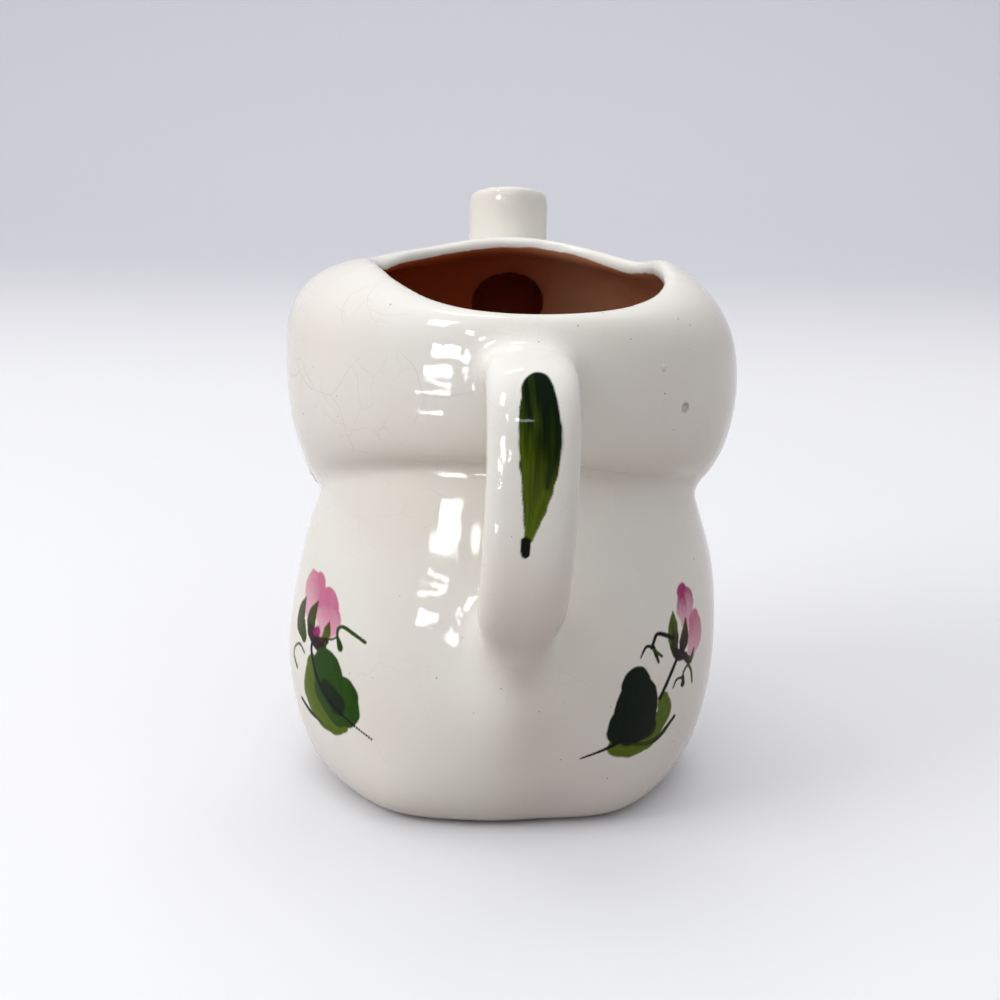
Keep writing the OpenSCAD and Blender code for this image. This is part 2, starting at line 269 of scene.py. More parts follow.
def points_of(piece):
    """Vertex places in millimetres, one row each."""
    flat = np.empty(len(piece.data.vertices) * 3)
    piece.data.vertices.foreach_get("co", flat)
    return flat.reshape(-1, 3) / MM


def set_points(piece, points):
    piece.data.vertices.foreach_set("co", (points * MM).ravel())
    piece.data.update()


def normals_of(piece):
    flat = np.empty(len(piece.data.vertices) * 3)
    piece.data.vertex_normals.foreach_get("vector", flat)
    return flat.reshape(-1, 3)


def vector_attribute(piece, name):
    flat = np.empty(len(piece.data.vertices) * 3)
    piece.data.attributes[name].data.foreach_get("vector", flat)
    return flat.reshape(-1, 3)


def clay_copy(part):
    """A merged copy of a frame part, with its sharp edges kept, smoothed by subdivision."""
    piece = bpy.data.objects.new(part + "_clay", frame["nodes"][part].data.copy())
    bpy.context.scene.collection.objects.link(piece)
    piece.data.materials.clear()
    pick(piece)
    bpy.ops.object.mode_set(mode="EDIT")
    bpy.ops.mesh.select_mode(type="EDGE")
    bpy.ops.mesh.select_all(action="SELECT")
    bpy.ops.mesh.remove_doubles(threshold=0.001 * MM)
    bpy.ops.mesh.tris_convert_to_quads(face_threshold=math.radians(40), shape_threshold=math.radians(70))
    bpy.ops.mesh.select_all(action="DESELECT")
    bpy.ops.mesh.edges_select_sharp(sharpness=math.radians(55))
    bpy.ops.transform.edge_crease(value=1)
    bpy.ops.object.mode_set(mode="OBJECT")
    apply_modifier(piece, "SUBSURF", levels=2, render_levels=2)
    return piece


clay = {part: clay_copy(part) for part in parts}
print("clay faces:", {part: len(piece.data.polygons) for part, piece in clay.items()})

# %% Press the parts together
contact = 0.5
press_depth = 0.9


def tree_of(piece):
    faces = [face.vertices[:] for face in piece.data.polygons]
    return BVHTree.FromPolygons(points_of(piece).tolist(), faces)


def distances_to(tree, points, reach):
    """Distance in mm from each point to the surface in the tree, or reach where it is farther."""
    found = np.full(len(points), float(reach))
    for index, point in enumerate(points.tolist()):
        distance = tree.find_nearest(point, reach)[3]
        if distance is not None:
            found[index] = distance
    return found


surfaces = {part: tree_of(piece) for part, piece in clay.items()}
for order, part in enumerate(parts[1:], 1):
    points, normals = points_of(clay[part]), normals_of(clay[part])
    touching = np.zeros(len(points), bool)
    for earlier in parts[:order]:
        touching |= distances_to(surfaces[earlier], points, contact) < contact
    set_points(clay[part], points + normals * (touching * press_depth)[:, None])
    print(part, "pressed points:", int(touching.sum()))

# %% One wet skin
skin_voxel = 1.0

pick(*[clay[part] for part in parts])
bpy.ops.object.join()
skin = clay["belly"]
skin.name = "skin"
apply_modifier(skin, "REMESH", mode="VOXEL", voxel_size=skin_voxel * MM)
select_none(skin, "VERT")
skin.data.vertices[int(points_of(skin)[:, 2].argmax())].select = True
bpy.ops.object.mode_set(mode="EDIT")
bpy.ops.mesh.select_linked()
bpy.ops.mesh.select_all(action="INVERT")
bpy.ops.mesh.delete(type="VERT")
bpy.ops.object.mode_set(mode="OBJECT")
for stroke in range(10):
    apply_modifier(skin, "SMOOTH", factor=0.5, iterations=1)
    apply_modifier(skin, "SMOOTH", factor=-0.52, iterations=1)
apply_modifier(skin, "SMOOTH", factor=0.5, iterations=2)
print("skin faces:", len(skin.data.polygons))

# %% Soft slip joints
joint_reach = {"head": 3.6, "handle": 4.5, "trunk_spout": 4.5}
small_reach = 2.2
foot_reach, foot_top = 9.0, 55.0
joint_rounds = 40
far_away = 8.0
seam_height, seam_slope = 62.0, math.tan(math.radians(27))


def part_distances(points):
    """Distance from each point to every part, one column each."""
    table = np.full((len(points), len(parts)), far_away)
    for column, part in enumerate(parts):
        low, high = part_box(part)
        low, high = np.array(low) / MM - far_away, np.array(high) / MM + far_away
        near = np.all((points > low) & (points < high), axis=1)
        table[near, column] = distances_to(surfaces[part], points[near], far_away)
    return table


def smooth_where(piece, name, weights, rounds):
    """Smooths a piece in proportion to weights from 0 to 1, kept as a vertex group in tenths."""
    group = piece.vertex_groups.new(name=name)
    for level in range(1, 11):
        chosen = np.flatnonzero(np.round(weights * 10) == level)
        group.add(chosen.tolist(), level / 10, "REPLACE")
    apply_modifier(piece, "SMOOTH", factor=0.5, iterations=rounds, vertex_group=name)


skin_points = points_of(skin)
gaps = part_distances(skin_points)
nearest = gaps.argmin(axis=1)
above_seam = skin_points[:, 2] > seam_height - seam_slope * skin_points[:, 1]
nearest = np.where(nearest < 2, above_seam.astype(int), nearest)
weights = np.zeros(len(gaps))
for column, part in enumerate(parts[1:], 1):
    others = np.delete(gaps, column, axis=1).min(axis=1)
    reach = joint_reach.get(part, small_reach)
    if part == "handle":
        reach = np.where(skin_points[:, 2] < foot_top, foot_reach, reach)
    weights = np.maximum(weights, 1 - np.maximum(gaps[:, column], others) / reach)
weights = np.clip(weights, 0, 1)
smooth_where(skin, "joints", weights, joint_rounds)
print("joint points:", int((weights > 0.05).sum()))

# %% [markdown]
# A wet sponge goes over the ears' thin edges and round the inside of the mouth, where a finger reaches. The
# same smoothing does that: on the ears everywhere, and inside on the points near the mouth that look towards
# the middle of the hollow, so the outside of the rim keeps its line.

# %% Sponged ears and lip
ear_rounds, lip_rounds = 12, 16
lip_low, lip_high = np.array([-36, -36, 96]), np.array([36, 34, 125])
hollow_middle = np.array([0, 0, 60.0])

on_ears = np.isin(nearest, [parts.index("left_ear"), parts.index("right_ear")])
smooth_where(skin, "ears", on_ears, ear_rounds)
points = points_of(skin)
in_lip = (normals_of(skin) * (points - hollow_middle)).sum(axis=1) < 0
in_lip &= np.all((points > lip_low) & (points < lip_high), axis=1)
smooth_where(skin, "lip", in_lip, lip_rounds)
print("sponged points:", int(on_ears.sum()), int(in_lip.sum()))

# %% [markdown]
# No hand-made pot is true. The mouth, trunk and handle of this one sit a little to the right, the right
# shoulder is squarer, the lower left of the belly fuller, and the near side of the base almost straight
# between two corners. A few wide, soft pushes give that, each with a centre, a reach and a move in
# millimetres, as a thumb would. The handle's foot is drawn out and wiped down after them.

# %% Hand-made unevenness
foot_middle, foot_wide, foot_rounds = np.array([0, -46.5, 37]), 12.0, 60
pushes = [
    ((0, -62, 85), 26, (1.3, 0, 0)),
    ((2, -6, 111), 30, (2.0, 0, 0)),
    ((41, -2, 105), 12, (-2.0, 0, -0.6)),
    ((41, 0, 64), 9, (-1.8, 0, 0)),
    ((-45, -2, 102), 10, (-0.8, 0, 0.8)),
    ((-26, -16, 110), 11, (0, 0, 2.0)),
    ((-23, -27, 109), 12, (0, 0, 1.2)),
    ((-27, 4, 111), 8, (0, 0, -1.6)),
    ((26, 13, 113), 9, (0, 0, -1.1)),
    ((34, -2, 110), 9, (-1.0, 0, 0.7)),
    ((24, -34, 76), 15, (0, 0, -2.0)),
    ((-43, -6, 28), 12, (-1.3, 0, 0)),
    ((-40, -14, 8), 18, (-1.7, -0.6, 0)),
    ((-26, -31, 3), 13, (-0.5, -3.6, 0)),
    ((26, -31, 3), 12, (0.3, -2.8, 0)),
    ((8, -40, 2), 9, (0, 1.2, 0.3)),
    ((0, -46, 35), 9, (0, -4.0, 0)),
    ((0, -44, 25), 9, (0, -1.2, 0)),
    ((10, -50, 44), 9, (-1.8, 0, 0)),
    ((-9, -50, 44), 9, (1.3, 0, 0)),
]
points = points_of(skin)
foot_share = np.exp(-((points - foot_middle) ** 2).sum(axis=1) / foot_wide ** 2)
for centre, reach, move in pushes:
    share = np.exp(-((points - centre) ** 2).sum(axis=1) / reach ** 2)
    points += share[:, None] * np.array(move)
set_points(skin, points)
smooth_where(skin, "foot", foot_share, foot_rounds)
points = points_of(skin)
points[:, 2] = np.maximum(points[:, 2], 0)
set_points(skin, points)

# %% Keep the shading of the whole skin
skin_normals = normals_of(skin)
kept = skin.data.attributes.new("skin_normal", "FLOAT_VECTOR", "POINT")
kept.data.foreach_set("vector", skin_normals.ravel())
print("skin box, mm:", points.min(axis=0).round(1).tolist(), points.max(axis=0).round(1).tolist())

# %% [markdown]
# The parts stay separate, as they were before luting, so the skin is cut where one part meets the next. Each
# face belongs to the part that lies nearest, and one copy of the skin per part keeps only its own faces. The
# shading of the whole skin is kept on every piece, so no cut shows.

# %% Cut the skin into its pieces
corners = np.array([face.vertices[:4] for face in skin.data.polygons])
for smoothing in range(4):
    votes = np.zeros((len(nearest), len(parts)))
    face_votes = np.eye(len(parts))[nearest[corners]].sum(axis=1)
    for corner in range(4):
        np.add.at(votes, corners[:, corner], face_votes)
    nearest = votes.argmax(axis=1)
face_parts = np.eye(len(parts))[nearest[corners]].sum(axis=1).argmax(axis=1)


def cut_piece(part):
    """A copy of the skin that keeps only the faces of one part."""
    piece = bpy.data.objects.new(part + "_glazed", skin.data.copy())
    bpy.context.scene.collection.objects.link(piece)
    select_none(piece, "FACE")
    piece.data.polygons.foreach_set("select", face_parts != parts.index(part))
    bpy.ops.object.mode_set(mode="EDIT")
    bpy.ops.mesh.delete(type="FACE")
    bpy.ops.object.mode_set(mode="OBJECT")
    bpy.ops.object.shade_smooth()
    return piece


pieces = {part: cut_piece(part) for part in parts}
bpy.data.objects.remove(skin)
print("cut faces:", {part: len(piece.data.polygons) for part, piece in pieces.items()})

# %% [markdown]
# Each cut leaves an open border, and on the real jug the clay goes on below it. So every border is turned
# inwards as a narrow collar and closed there: with a band where two borders lie inside each other, as on the
# walls of the two pots, and otherwise with flat faces. Closed pieces can be used on their own.

# %% Close the seats
ring_reach = 12.0
seat_depth = 1.2


def border_loops(piece):
    """The closed rows of edges that have a face on one side only, each as vertex and edge numbers."""
    mesh = piece.data
    used = np.empty(len(mesh.loops), int)
    mesh.loops.foreach_get("edge_index", used)
    border = np.flatnonzero(np.bincount(used, minlength=len(mesh.edges)) == 1)
    meeting = {}
    for edge in border.tolist():
        for vertex in mesh.edges[edge].vertices:
            meeting.setdefault(vertex, []).append(edge)
    loops, left = [], set(border.tolist())
    while left:
        edge = min(left)
        vertices, edges = [mesh.edges[edge].vertices[0]], []
        while edge is not None:
            left.discard(edge)
            edges.append(edge)
            first, second = mesh.edges[edge].vertices
            vertices.append(second if vertices[-1] == first else first)
            edge = next((other for other in meeting[vertices[-1]] if other in left), None)
        loops.append((vertices[:-1], edges))
    return loops


def select_edges(piece, edges):
    """Goes to edit mode with only these edges selected."""
    select_none(piece, "EDGE")
    for edge in edges:
        piece.data.edges[edge].select = True
    bpy.ops.object.mode_set(mode="EDIT")


def sink_border(piece, edges):
    """Turns a border inwards as a narrow collar below the skin; the collar's free edge stays selected."""
    select_edges(piece, edges)
    bpy.ops.mesh.extrude_edges_move()
    bpy.ops.object.mode_set(mode="OBJECT")
    sunk = [vertex.index for vertex in piece.data.vertices if vertex.select]
    inward = vector_attribute(piece, "skin_normal")[sunk]
    for index, normal in zip(sunk, inward):
        piece.data.vertices[index].co -= Vector(normal) * seat_depth * MM
    bpy.ops.object.mode_set(mode="EDIT")


def close_seats(piece):
    """Closes every seat a little below the skin: ring-shaped ones with a band, others with flat faces."""
    loops = border_loops(piece)
    middles = [points_of(piece)[vertices].mean(axis=0) for vertices, edges in loops]
    done = set()
    for one in range(len(loops)):
        if one in done:
            continue
        free = [two for two in range(one + 1, len(loops)) if two not in done]
        near = [two for two in free if np.linalg.norm(middles[one] - middles[two]) < ring_reach]
        partner = near[0] if near else None
        if partner is not None:
            done.add(partner)
            sink_border(piece, loops[one][1] + loops[partner][1])
            bpy.ops.mesh.bridge_edge_loops()
            bpy.ops.object.mode_set(mode="OBJECT")
            continue
        sink_border(piece, loops[one][1])
        bpy.ops.mesh.edge_face_add()
        bpy.ops.mesh.quads_convert_to_tris(quad_method="BEAUTY", ngon_method="BEAUTY")
        bpy.ops.object.mode_set(mode="OBJECT")
    print(piece.name, "seats:", [(len(edges), middles[index].round(1).tolist())
                                  for index, (vertices, edges) in enumerate(loops)], "rings:", len(done))


for piece in pieces.values():
    close_seats(piece)
print("piece faces:", {part: len(piece.data.polygons) for part, piece in pieces.items()})

# %% [markdown]
# The sprigs are painted freehand with a loaded round brush: each petal, sepal and leaf is one press-and-pull
# stroke, and stems and tendrils are drawn with the tip. A stroke here is the same thing: a line through a few
# points, a width that swells and tapers along it, and two colours that run into each other. The paint is
# stored on the vertices, so the decorated patches get a finer mesh first.

# %% Brush strokes
def smooth_line(points, count=70):
    """A smooth line through a few points (Catmull-Rom)."""
    points = np.array(points, float)
    wide = np.vstack([2 * points[0] - points[1], points, 2 * points[-1] - points[-2]])
    steps = np.linspace(0, len(points) - 1, count)
    first = np.minimum(steps.astype(int), len(points) - 2)
    share = (steps - first)[:, None]
    a, b, c, d = (wide[first + offset] for offset in range(4))
    curve = 2 * b + (c - a) * share + (2 * a - 5 * b + 4 * c - d) * share ** 2
    return (curve + (3 * b - a - 3 * c + d) * share ** 3) / 2


def grain(along, across, seed):
    """Smooth seeded noise between 0 and 1 on two coordinates."""
    cell_a, cell_b = np.floor(along), np.floor(across)
    part_a, part_b = along - cell_a, across - cell_b
    part_a, part_b = part_a ** 2 * (3 - 2 * part_a), part_b ** 2 * (3 - 2 * part_b)

    def corner(a, b):
        value = np.sin(a * 127.1 + b * 311.7 + seed * 74.7) * 43758.5453
        return value - np.floor(value)

    low = corner(cell_a, cell_b) * (1 - part_a) + corner(cell_a + 1, cell_b) * part_a
    high = corner(cell_a, cell_b + 1) * (1 - part_a) + corner(cell_a + 1, cell_b + 1) * part_a
    return low * (1 - part_b) + high * part_b


def soft_step(value, low, high):
    share = np.clip((value - low) / (high - low), 0, 1)
    return share * share * (3 - 2 * share)


def stroke_cover(places, line, widths, soft, seed):
    """How far a stroke covers each place, and where along and across it the place lies."""
    curve = smooth_line(line)
    gaps = places[:, None, :] - curve[None, :, :]
    spot = (gaps ** 2).sum(axis=2).argmin(axis=1)
    gap = gaps[np.arange(len(places)), spot]
    run = np.gradient(curve, axis=0)[spot]
    run /= np.linalg.norm(run, axis=1)[:, None]
    across = run[:, 0] * gap[:, 1] - run[:, 1] * gap[:, 0]
    along = spot / (len(curve) - 1)
    half = np.interp(along, np.linspace(0, 1, len(widths)), widths) / 2
    wobble = (grain(places[:, 0] * 0.6, places[:, 1] * 0.6, seed) - 0.5) * np.minimum(half * 0.3, 0.3)
    cover = soft_step(half + wobble - np.linalg.norm(gap, axis=1), -soft, soft)
    return cover, along, across / np.maximum(half, 0.05)


# %% Paint colours
def paint(red, green, blue):
    """A colour given in screen values (0 to 255), turned into linear light."""
    channel = np.array([red, green, blue]) / 255
    return np.where(channel > 0.04045, ((channel + 0.055) / 1.055) ** 2.4, channel / 12.92)


PINK, PALE_PINK, DEEP_PINK = paint(204, 112, 146), paint(228, 178, 194), paint(160, 46, 102)
MAGENTA, WINE = paint(150, 14, 100), paint(40, 4, 8)
OLIVE, MOSS, BROWN_OLIVE = paint(88, 106, 10), paint(48, 70, 6), paint(72, 60, 8)
LEAF_GREEN, DARK_GREEN, INK = paint(34, 70, 0), paint(2, 22, 2), paint(6, 8, 4)

# %% The sprig strokes
# Each stroke: line in mm round the belly from the middle of the back (+ to the right) and up,
# widths along it, colour at its start and end, cover, softness of its edge.
left_sprig = [
    ([(-53.5, 42), (-52, 45.5), (-49, 48)], [5, 8, 8, 4.5], PALE_PINK, PINK, 0.95, 0.25),
    ([(-46, 38.5), (-45, 42), (-45, 44.5)], [5, 9, 9.5, 7.5], PALE_PINK, PINK, 0.95, 0.25),
    ([(-54, 35), (-56.5, 38), (-55, 43)], [3, 5, 4, 0.5], MOSS, BROWN_OLIVE, 1.0, 0.2),
    ([(-51, 37), (-51, 40), (-49, 44)], [3, 4, 3, 0.5], MOSS, BROWN_OLIVE, 1.0, 0.2),
    ([(-45.5, 37), (-44.5, 39), (-44, 41)], [2, 2.5, 0.5], OLIVE, BROWN_OLIVE, 1.0, 0.2),
    ([(-51, 37), (-47.5, 35.5), (-44.5, 37)], [3, 3.5, 1.5], WINE, WINE, 0.97, 0.25),
    ([(-49, 37.5), (-48, 38)], [2, 2], MAGENTA, MAGENTA, 0.95, 0.3),
    ([(-49, 30), (-48.5, 24.5), (-45, 21)], [5, 9, 8], OLIVE, OLIVE, 0.97, 0.2),
    ([(-45, 21), (-42, 20), (-39.5, 20.5)], [7, 6, 4.5], OLIVE, OLIVE, 0.97, 0.2),
    ([(-44, 30.5), (-43.5, 29)], [10, 10], LEAF_GREEN, LEAF_GREEN, 0.98, 0.2),
    ([(-45, 26), (-40.5, 23)], [7, 7.5], LEAF_GREEN, LEAF_GREEN, 0.94, 0.25),
    ([(-38.5, 27), (-38.5, 24.5)], [8.5, 9], LEAF_GREEN, LEAF_GREEN, 0.97, 0.2),
    ([(-44, 26.5), (-40.5, 24.5)], [4.5, 5], DARK_GREEN, DARK_GREEN, 0.85, 0.5),
    ([(-54.5, 20.5), (-50.5, 19), (-45.5, 18)], [1, 1.2, 0.4], INK, MOSS, 0.95, 0.15),
    ([(-49.5, 36), (-50, 33), (-47, 27.5), (-41.5, 23.5), (-31, 19.5)], [0.9, 1, 1, 0.8, 0.5],
     INK, INK, 1.0, 0.12),
    ([(-45, 36.5), (-44.5, 34.5)], [0.5, 0.5], MOSS, MOSS, 0.95, 0.12),
    ([(-44, 37.5), (-42.5, 38), (-41, 39)], [0.5, 0.5, 0.4], MOSS, MOSS, 0.95, 0.12),
    ([(-41, 38.5), (-41, 40.5), (-39.5, 41.5), (-36.5, 41), (-33, 40)], [0.7, 0.8, 0.8, 0.9, 0.8],
     LEAF_GREEN, MOSS, 0.97, 0.12),
    ([(-41, 39), (-40, 37)], [0.8, 2], LEAF_GREEN, LEAF_GREEN, 0.97, 0.15),
    ([(-56.5, 27), (-58.5, 29), (-58, 31), (-55.5, 32.5), (-53, 31.5)], [0.9, 0.7, 0.6, 0.6, 0.5],
     MOSS, MOSS, 0.9, 0.15),
]
right_sprig = [
    ([(42.5, 43.5), (42, 47), (41, 49.5)], [4.5, 7, 6, 3.5], PALE_PINK, DEEP_PINK, 0.95, 0.25),
    ([(44.5, 35.5), (46, 39), (45.5, 42.5)], [3.5, 6.5, 6, 4], PALE_PINK, PINK, 0.95, 0.25),
    ([(38, 37.5), (37.5, 42), (37.5, 46)], [2, 3.5, 3, 0.5], WINE, OLIVE, 1.0, 0.2),
    ([(40.5, 37), (41.5, 39.5), (42, 43.5)], [2, 3.5, 2.5, 0.5], WINE, BROWN_OLIVE, 1.0, 0.2),
    ([(42, 35), (44, 34), (45.5, 36)], [1.5, 2, 0.5], WINE, MOSS, 0.95, 0.2),
    ([(38.5, 37), (40, 36), (42, 35.5)], [2, 2.5, 1.5], WINE, WINE, 0.97, 0.25),
    ([(35, 28), (35.5, 24.5), (31.5, 20)], [3, 5, 5], OLIVE, OLIVE, 0.97, 0.25),
    ([(31.5, 20), (27, 19), (23, 20)], [5, 4.5, 4], OLIVE, OLIVE, 0.97, 0.25),
    ([(27, 33), (27.5, 29.5), (28, 25)], [7.5, 10.5, 11.5, 10.5], DARK_GREEN, DARK_GREEN, 0.98, 0.2),
    ([(23.5, 25.5), (23.5, 23.5)], [5.5, 6], DARK_GREEN, DARK_GREEN, 0.98, 0.2),
    ([(26.5, 22.5), (31, 22.5)], [6, 5], DARK_GREEN, DARK_GREEN, 0.95, 0.3),
    ([(39.5, 22.5), (34, 19), (27, 19.5)], [1, 1.4, 0.5], DARK_GREEN, MOSS, 0.97, 0.15),
    ([(39, 36), (37, 33), (34, 28.5)], [1, 1, 1], INK, INK, 1.0, 0.12),
    ([(25.5, 21.5), (21, 20), (15, 18.5)], [1, 0.8, 0.4], INK, INK, 1.0, 0.12),
    ([(37.5, 40.5), (34.5, 42), (32.5, 42.5), (31.5, 41), (31, 40)], [0.9, 1, 0.9, 0.8, 0.8],
     INK, INK, 0.97, 0.12),
    ([(31.5, 40), (29.5, 40.5), (28, 38.5)], [0.6, 0.7, 0.4], INK, INK, 0.97, 0.12),
    ([(31.5, 40), (33, 36.5)], [0.8, 0.9, 0.6], INK, INK, 0.97, 0.12),
    ([(31.5, 39.5), (34, 37.5)], [0.7, 0.8, 0.6], MOSS, MOSS, 0.97, 0.12),
    ([(41, 30.5), (41.5, 32), (43, 33), (44.5, 31.5), (45.5, 28.5)], [0.5, 0.7, 0.7, 0.7, 0.7],
     MOSS, MOSS, 0.97, 0.12),
    ([(41.5, 31), (41.5, 29.5)], [0.7, 1.7], DARK_GREEN, DARK_GREEN, 0.97, 0.15),
    ([(41, 31), (39, 31), (38, 29.5)], [0.6, 0.7, 0.4], INK, INK, 0.97, 0.12),
]
handle_leaf = [
    ([(1.5, 99), (2, 93), (2, 86.5), (1.5, 80), (0.5, 73.5)], [6, 7.3, 7.7, 7, 5.6, 3.7, 1.8],
     DARK_GREEN, OLIVE, 0.98, 0.15),
    ([(3.5, 97), (4.5, 91), (3.5, 83)], [2.4, 3, 1], DARK_GREEN, DARK_GREEN, 0.8, 0.6),
    ([(0, 73), (0, 70.5)], [1.8, 1.6], INK, INK, 1.0, 0.12),
]
eyes = []
for side in (-1, 1):
    eyes.append(([(side * 15.8, 96.8), (side * 16.2, 99.4)], [2, 3.0, 2.2], INK, INK, 1.0, 0.15))
    eyes.append(([(side * 13.4, 100.2), (side * 16, 102), (side * 18.8, 101)], [0.4, 0.9, 0.4],
                 INK, INK, 0.95, 0.12))
belly_girth = 44.5


def belly_canvas(points):
    return np.column_stack([belly_girth * np.arctan2(points[:, 0], -points[:, 1]), points[:, 2]])


def flat_canvas(points):
    return points[:, [0, 2]]


# %% A finer mesh under the paint
fine_cuts = 3
paint_margin = 0.7


def lay_strokes(places, strokes, margin=0.0):
    """The laid paint as colour and cover for every place; a margin widens every stroke."""
    colour = np.zeros((len(places), 4))
    for seed, (line, widths, start, end, cover, soft) in enumerate(strokes, 1):
        low, high = np.min(line, axis=0), np.max(line, axis=0)
        room = max(widths) / 2 + 1 + margin
        near = np.flatnonzero(np.all((places > low - room) & (places < high + room), axis=1))
        if len(near) == 0:
            continue
        wide = np.array(widths) + 2 * margin
        share, along, across = stroke_cover(places[near], line, wide, soft, seed)
        streak = grain(along * 2.5, across * 5 + 40, seed) * 0.6
        streak = streak + grain(along * 6, across * 11 + 9, seed + 50) * 0.4
        blend = np.clip(along + (streak - 0.5) * 0.9, 0, 1)[:, None]
        tint = start * (1 - blend) + end * blend
        tint = tint * (0.8 + 0.4 * streak)[:, None]
        share = share * cover * np.clip(1.08 - 0.14 * streak, 0, 1)
        under = colour[near, 3] * (1 - share)
        total = np.maximum(under + share, 1e-6)
        colour[near, :3] = (colour[near, :3] * under[:, None] + tint * share[:, None]) / total[:, None]
        colour[near, 3] = under + share
    colour[:, 3] = np.clip(colour[:, 3] * 1.1, 0, 1)
    return colour


def refine(piece, covered):
    """Subdivides the faces that hold a covered vertex."""
    mesh = piece.data
    chosen = np.array([covered[list(face.vertices)].any() for face in mesh.polygons])
    select_none(piece, "FACE")
    mesh.polygons.foreach_set("select", chosen)
    bpy.ops.object.mode_set(mode="EDIT")
    bpy.ops.mesh.subdivide(number_cuts=fine_cuts, smoothness=0)
    bpy.ops.object.mode_set(mode="OBJECT")
    print(piece.name, "faces refined:", int(chosen.sum()), "now", len(mesh.polygons))


def decorate(piece, strokes, canvas, faces_painter):
    """Refines the mesh under the strokes and stores the paint on its vertices."""
    normals = vector_attribute(piece, "skin_normal")
    shown = faces_painter(normals, points_of(piece))
    covered = (lay_strokes(canvas(points_of(piece)), strokes, paint_margin)[:, 3] > 0.01) & shown
    refine(piece, covered)
    colour = lay_strokes(canvas(points_of(piece)), strokes)
    shown = faces_painter(vector_attribute(piece, "skin_normal"), points_of(piece))
    colour[~shown] = 0
    piece.data.attributes["paint"].data.foreach_set("color", colour.ravel())


for piece in pieces.values():
    bare = piece.data.attributes.new("paint", "FLOAT_COLOR", "POINT")
    bare.data.foreach_set("color", np.zeros(len(piece.data.vertices) * 4))


def outward(normals, points):
    return (normals[:, :2] * points[:, :2]).sum(axis=1) > 0


def backward_face(normals, points):
    return normals[:, 1] < -0.1


def forward_face(normals, points):
    return (normals[:, 1] > 0.1) & (points[:, 1] > 20)


decorate(pieces["belly"], left_sprig + right_sprig, belly_canvas, outward)
decorate(pieces["handle"], handle_leaf, flat_canvas, backward_face)
decorate(pieces["head"], eyes, flat_canvas, forward_face)

# %% [markdown]
# Inside, the jug is lined with a glossy chestnut-brown glaze that was poured in and out, so it stops in an
# uneven line just below the white rim. A number on every vertex says how far the lining covers it: vertices
# that look towards the middle of the hollow are lined. Higher numbers mark the trunk's bore, where
# the glaze is painted near-black as shade in the hole.

# %% Brown lining
bore_reach, white_corner = 9.0, 0.3
bore_bend = np.array([(0, 28.8, 91.3), (0, 40, 94.5), (0, 45, 102.5), (0, 45, 121)])
bore_start, bore_white = (0.15, 0.36), 119.0


def facing_share(points, normals, middles):
    """How far each point looks towards its middle, from -1 to 1."""
    towards = middles - points
    return (normals * towards).sum(axis=1) / np.maximum(np.linalg.norm(towards, axis=1), 0.1)


def bore_facing(points, normals):
    """How far each point looks towards the middle of the bore, doubled inside the trunk, and its distance."""
    step = np.linspace(0, 1, 40)[:, None]
    start, first, second, end = bore_bend
    line = (1 - step) ** 3 * start + 3 * step * (1 - step) ** 2 * first
    line = line + 3 * step ** 2 * (1 - step) * second + step ** 3 * end
    apart = np.linalg.norm(points[:, None] - line[None], axis=2)
    nearest = apart.argmin(axis=1)
    # Inside the trunk the number is raised past 1, where the glaze paints the bore near-black as painted
    # shade.
    deeper = 1 + soft_step(nearest / (len(line) - 1), *bore_start)
    return facing_share(points, normals, line[nearest]) * deeper, apart.min(axis=1)


def hollow_lining(points, normals):
    """The pot's inside: what looks towards the middle of the hollow, and the edge of the trunk's bore."""
    facing, apart = bore_facing(points, normals)
    hollow = facing_share(points, normals, hollow_middle)
    hollow -= white_corner * soft_step(points[:, 0], 12, 26)
    return np.maximum(hollow, np.where(apart < bore_reach, facing, -1))


def bore_lining(points, normals):
    """The trunk's inside: what looks towards the middle line of its bore, up to the white tip."""
    facing, apart = bore_facing(points, normals)
    return np.minimum(facing, (bore_white - points[:, 2]) / 2)


for part, piece in pieces.items():
    points, normals = points_of(piece), vector_attribute(piece, "skin_normal")
    lined = np.full(len(points), -1.0)
    if part in ("belly", "head"):
        lined = hollow_lining(points, normals)
    if part == "trunk_spout":
        lined = bore_lining(points, normals)
    store = piece.data.attributes.new("lining", "FLOAT", "POINT")
    store.data.foreach_set("value", lined)
    print(part, "lined vertices:", int((lined > 0.5).sum()))

# %% [markdown]
# The finish is a thick, glossy, slightly warm white glaze. It has a fine network of brown-stained crazing,
# most of it on the upper left, scattered dark pinholes, one pit and one knob on the right of the head, and a
# surface that is not quite flat. A thin dark brown band painted just above the table is painted contact
# shadow.
# One material holds all of it on the jug's own coordinates; the paint, which mirrors a little less, and the
# lining come from the vertices.

# %% Glaze material
glaze, tree, shader = new_material("white_glaze")
place = add_node(tree, "TexCoord").outputs["Object"]


def noise(scale, detail=3.0, vector=place, roughness=0.5):
    node = add_node(tree, "TexNoise", {"Vector": vector, "Scale": scale, "Detail": detail,
                                       "Roughness": roughness})
    return node.outputs["Fac"]


def remap(value, low, high, start=0.0, end=1.0):
    node = add_node(tree, "MapRange", {"Value": value, "From Min": low, "From Max": high, "To Min": start,
                                       "To Max": end}, interpolation_type="SMOOTHSTEP")
    return node.outputs["Result"]


def maths(operation, first, second):
    node = add_node(tree, "Math", operation=operation)
    for socket, value in zip(node.inputs, (first, second)):
        if isinstance(value, bpy.types.NodeSocket):
            tree.links.new(value, socket)
        else:
            socket.default_value = value
    return node.outputs["Value"]


def mix(share, under, over):
    node = add_node(tree, "Mix", {"Factor": share, "A": under, "B": over}, data_type="RGBA")
    return node.outputs["Result"]


